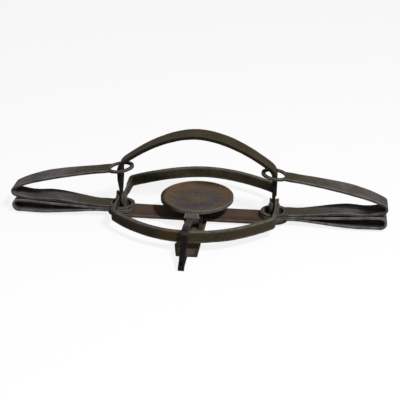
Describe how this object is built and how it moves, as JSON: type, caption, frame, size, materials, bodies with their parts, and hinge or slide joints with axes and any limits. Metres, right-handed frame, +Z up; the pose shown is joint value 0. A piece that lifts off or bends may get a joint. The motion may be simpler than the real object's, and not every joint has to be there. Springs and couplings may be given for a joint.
{
  "type": "leghold trap",
  "caption": "Hand-forged leghold trap lying open, with hinged jaws, a standing bow, long leaf springs, a round dished pan on a cross bar and a bent dog over the front jaw.",
  "frame": {"origin": "on the ground under the middle of the base bar, on the underside of the cross bar", "axes": "+X along the base bar and the springs, +Y from the dog towards the back jaw, +Z up"},
  "size_m": [0.5948, 0.3068, 0.146],
  "materials": {
    "rusted_bar": "rusted, rough",
    "forged_iron": "dark forge scale",
    "spring_steel": "worn dark grey",
    "pan_iron": "brown-grey patina",
    "dog_iron": "nearly black"
  },
  "bodies": {
    "base": {"base_bar": "rusted_bar", "cross_bar": "rusted_bar", "cross_rivets": "rusted_bar", "left_jaw_post": "forged_iron", "right_jaw_post": "forged_iron", "post_rivets": "rusted_bar", "left_hinge_pin": "forged_iron", "right_hinge_pin": "forged_iron", "left_lower_spring_bottom_leaf": "spring_steel", "right_lower_spring_bottom_leaf": "spring_steel", "pan_bracket": "rusted_bar", "bracket_rivets": "rusted_bar", "pan_pin": "forged_iron", "dog_pin": "dog_iron"},
    "front_jaw": {"front_jaw": "forged_iron"},
    "back_jaw": {"back_jaw": "forged_iron"},
    "standing_bow": {"standing_bow": "forged_iron"},
    "left_mid_leaves": {"left_lower_spring_top_leaf": "spring_steel", "left_upper_spring_bottom_leaf": "spring_steel"},
    "right_mid_leaves": {"right_lower_spring_top_leaf": "spring_steel", "right_upper_spring_bottom_leaf": "spring_steel"},
    "left_top_leaf": {"left_upper_spring_top_leaf": "spring_steel"},
    "right_top_leaf": {"right_upper_spring_top_leaf": "spring_steel"},
    "pan": {"pan_dish": "pan_iron", "pan_stem": "pan_iron", "pan_rivets": "pan_iron", "catch_tab": "pan_iron", "tab_rivet": "pan_iron"},
    "dog": {"dog": "dog_iron"}
  },
  "joints": [
    {"name": "front_jaw_hinge", "type": "hinge", "parent": "base", "child": "front_jaw", "pos_m": [0, 0, 0.02801], "axis": [-1, 0, 0], "range_deg": [0, 56]},
    {"name": "back_jaw_hinge", "type": "hinge", "parent": "base", "child": "back_jaw", "pos_m": [0, 0, 0.02801], "axis": [1, 0, 0], "range_deg": [0, 56]},
    {"name": "standing_bow_hinge", "type": "hinge", "parent": "base", "child": "standing_bow", "pos_m": [0, 0, 0.02801], "axis": [1, 0, 0], "range_deg": [-1.5, 1.5]},
    {"name": "left_lower_spring_flex", "type": "hinge", "parent": "base", "child": "left_mid_leaves", "pos_m": [-0.287, 0, 0.014], "axis": [0, -1, 0], "range_deg": [0, 4.3]},
    {"name": "right_lower_spring_flex", "type": "hinge", "parent": "base", "child": "right_mid_leaves", "pos_m": [0.287, 0, 0.014], "axis": [0, 1, 0], "range_deg": [0, 4.3]},
    {"name": "left_upper_spring_flex", "type": "hinge", "parent": "left_mid_leaves", "child": "left_top_leaf", "pos_m": [-0.2872, 0, 0.0382], "axis": [0, -1, 0], "range_deg": [-4.3, 0]},
    {"name": "right_upper_spring_flex", "type": "hinge", "parent": "right_mid_leaves", "child": "right_top_leaf", "pos_m": [0.2872, 0, 0.0382], "axis": [0, 1, 0], "range_deg": [-4.3, 0]},
    {"name": "pan_hinge", "type": "hinge", "parent": "base", "child": "pan", "pos_m": [0, -0.05, 0.02], "axis": [1, 0, 0], "range_deg": [-12, 0]},
    {"name": "dog_hinge", "type": "hinge", "parent": "base", "child": "dog", "pos_m": [-0.0015, -0.177, 0.0046], "axis": [1, 0, 0], "range_deg": [0, 124]}
  ],
  "couplings": [
    {"joint": "back_jaw_hinge", "follows": "front_jaw_hinge", "ratio": 1},
    {"joint": "dog_hinge", "follows": "front_jaw_hinge", "ratio": 2.2},
    {"joint": "left_lower_spring_flex", "follows": "front_jaw_hinge", "ratio": 0.075},
    {"joint": "right_lower_spring_flex", "follows": "front_jaw_hinge", "ratio": 0.075},
    {"joint": "left_upper_spring_flex", "follows": "front_jaw_hinge", "ratio": -0.075},
    {"joint": "right_upper_spring_flex", "follows": "front_jaw_hinge", "ratio": -0.075}
  ]
}
